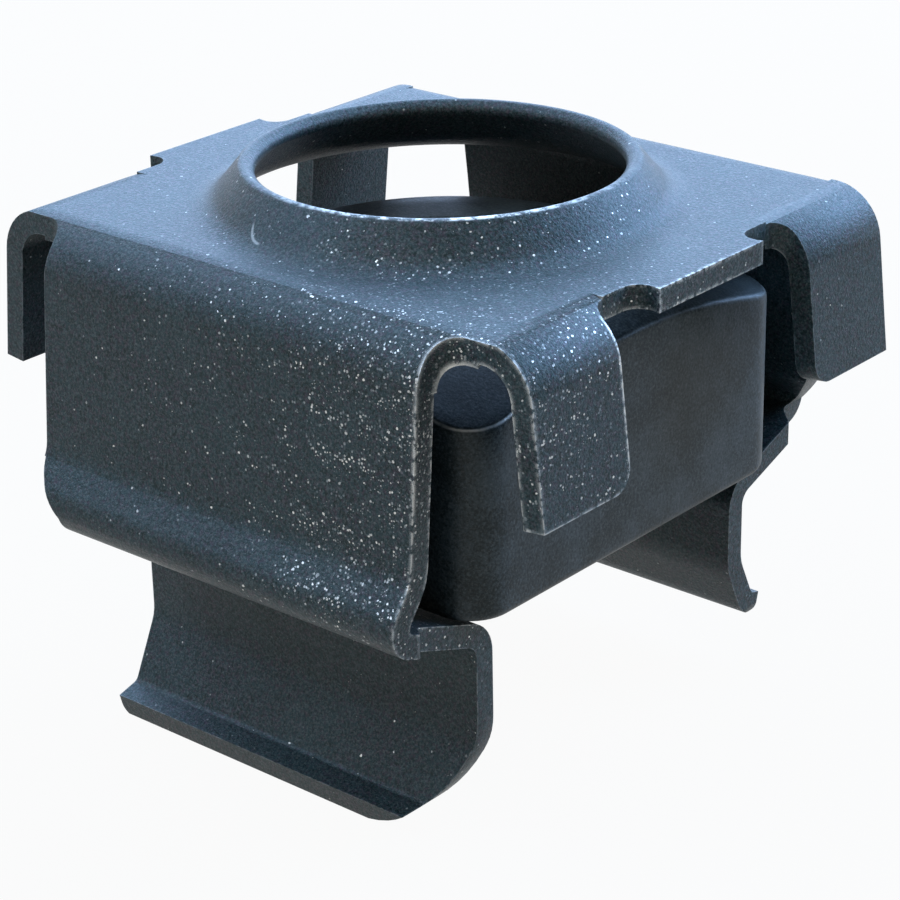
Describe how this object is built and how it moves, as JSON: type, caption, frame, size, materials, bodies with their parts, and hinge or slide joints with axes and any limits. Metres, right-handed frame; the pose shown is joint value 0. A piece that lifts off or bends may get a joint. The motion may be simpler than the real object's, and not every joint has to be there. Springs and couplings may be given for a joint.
{
  "type": "rack cage nut",
  "caption": "Folded sheet-steel cage with flared spring legs that snap into a square rack hole, holding a loose square nut under a drawn collar.",
  "frame": {"origin": "on the screw's axis, at the height of the long leg's toe", "axes": "+Z along the screw's axis into the rack, away from the screw's head; X runs along the legs' faces, Y runs across the rack hole from one leg to the other, with the long leg on -Y"},
  "size_m": [0.015, 0.0152, 0.0124],
  "materials": {
    "cage_sheet": "dark phosphate on spring steel sheet, matt, worn bright at its cut edges",
    "nut_steel": "dark phosphate on steel, matt"
  },
  "bodies": {
    "root": {"spring_cage": "cage_sheet", "square_nut": "nut_steel"}
  },
  "joints": []
}
